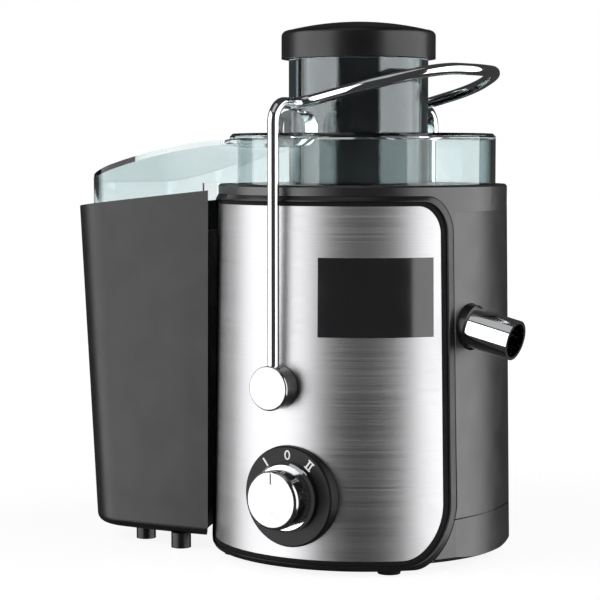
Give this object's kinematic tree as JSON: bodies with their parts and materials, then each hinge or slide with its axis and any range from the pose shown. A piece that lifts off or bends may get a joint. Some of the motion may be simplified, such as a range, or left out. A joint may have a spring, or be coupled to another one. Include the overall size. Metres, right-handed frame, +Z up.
{
  "type": "centrifugal juicer",
  "caption": "Countertop centrifugal juicer with a round steel-fronted housing, clear cover with feed chute and pusher, swinging locking bar, side spout and pulp container.",
  "frame": {"origin": "on the floor under the middle of the whole appliance's bounding box", "axes": "+Z up, the speed dial faces -Y, the juice spout points to +X and the pulp container stands at -X"},
  "size_m": [0.2488, 0.179, 0.273],
  "materials": {
    "housing_plastic": "satin moulded charcoal plastic",
    "bezel_plastic": "dark semi-gloss plastic",
    "brushed_panel": "horizontally brushed stainless steel",
    "plate_black": "blank glossy dark plate",
    "dial_black": "satin black",
    "mark_white": "white print",
    "chrome": "polished chrome plate",
    "clear_plastic": "clear plastic with a blue-green edge tint",
    "pusher_plastic": "glossy black plastic",
    "cap_plastic": "satin charcoal plastic",
    "bin_plastic": "satin charcoal plastic",
    "rubber": "soft black rubber",
    "bowl_plastic": "smooth dark plastic",
    "inner_plastic": "plain black plastic",
    "stainless": "fine stainless sheet",
    "bearing_steel": "ground steel",
    "laminated_steel": "stacked steel sheet",
    "copper": "enamelled copper wire",
    "zinc_bracket": "die-cast bracket",
    "carbon": "pressed carbon"
  },
  "bodies": {
    "housing": {"body_shell": "housing_plastic", "base_plate": "housing_plastic", "rubber_feet": "rubber", "base_screws": "bearing_steel", "front_bezel": "bezel_plastic", "front_panel": "brushed_panel", "panel_plate": "plate_black", "dial_plate": "dial_black", "dial_marks": "mark_white", "speed_switch": "inner_plastic", "pivot_bushes": "inner_plastic", "interlock_switch": "inner_plastic", "juice_bowl": "bowl_plastic", "shaft_seal": "rubber", "spout_nozzle": "chrome", "spout_collar": "bezel_plastic", "lower_bracket": "zinc_bracket", "upper_bracket": "zinc_bracket", "lower_bearing": "bearing_steel", "upper_bearing": "bearing_steel", "field_core": "laminated_steel", "field_coils": "copper", "carbon_brushes": "carbon", "brush_holders": "inner_plastic", "motor_mounts": "rubber", "motor_screws": "bearing_steel", "cord_gland": "rubber"},
    "rotor": {"motor_shaft": "bearing_steel", "armature_core": "laminated_steel", "armature_winding": "copper", "commutator": "copper", "cooling_fan": "inner_plastic", "drive_coupling": "inner_plastic", "basket_hub": "inner_plastic", "filter_mesh": "stainless", "basket_rim": "stainless", "grater_disc": "stainless"},
    "speed_dial": {"speed_knob": "chrome", "knob_skirt": "chrome", "switch_spindle": "inner_plastic"},
    "locking_bar": {"locking_bar": "chrome", "pivot_cap_front": "chrome", "pivot_cap_rear": "chrome", "pivot_pins": "bearing_steel", "interlock_cam": "inner_plastic"},
    "interlock_plunger": {"interlock_plunger": "inner_plastic"},
    "cover": {"clear_cover": "clear_plastic"},
    "pusher": {"pusher_body": "pusher_plastic", "pusher_cap": "cap_plastic"},
    "pulp_bin": {"pulp_container": "bin_plastic", "container_feet": "bin_plastic"}
  },
  "joints": [
    {"name": "rotor_spin", "type": "hinge", "parent": "housing", "child": "rotor", "pos_m": [0.0261, 0.00352, 0.06], "axis": [0, 0, 1], "continuous": true},
    {"name": "dial_turn", "type": "hinge", "parent": "housing", "child": "speed_dial", "pos_m": [0.0301, -0.07648, 0.038], "axis": [0, 1, 0], "range_deg": [-38, 38]},
    {"name": "bar_swing", "type": "hinge", "parent": "housing", "child": "locking_bar", "pos_m": [0.0236, 0.00352, 0.0915], "axis": [0, 1, 0], "range_deg": [0, 90]},
    {"name": "plunger_slide", "type": "slide", "parent": "housing", "child": "interlock_plunger", "axis": [0, 0, 1], "range_m": [0, 0.001]},
    {"name": "cover_lift", "type": "slide", "parent": "housing", "child": "cover", "axis": [0, 0, 1], "range_m": [0, 0.0315]},
    {"name": "pusher_slide", "type": "slide", "parent": "cover", "child": "pusher", "axis": [0, 0, 1], "range_m": [0, 0.09]},
    {"name": "bin_slide", "type": "slide", "parent": "housing", "child": "pulp_bin", "axis": [-1, 0, 0], "range_m": [0, 0.08]}
  ],
  "couplings": [
    {"joint": "cover_lift", "follows": "bar_swing", "m_per_rad": 0.0195},
    {"joint": "plunger_slide", "follows": "bar_swing", "m_per_rad": 0.00055}
  ]
}
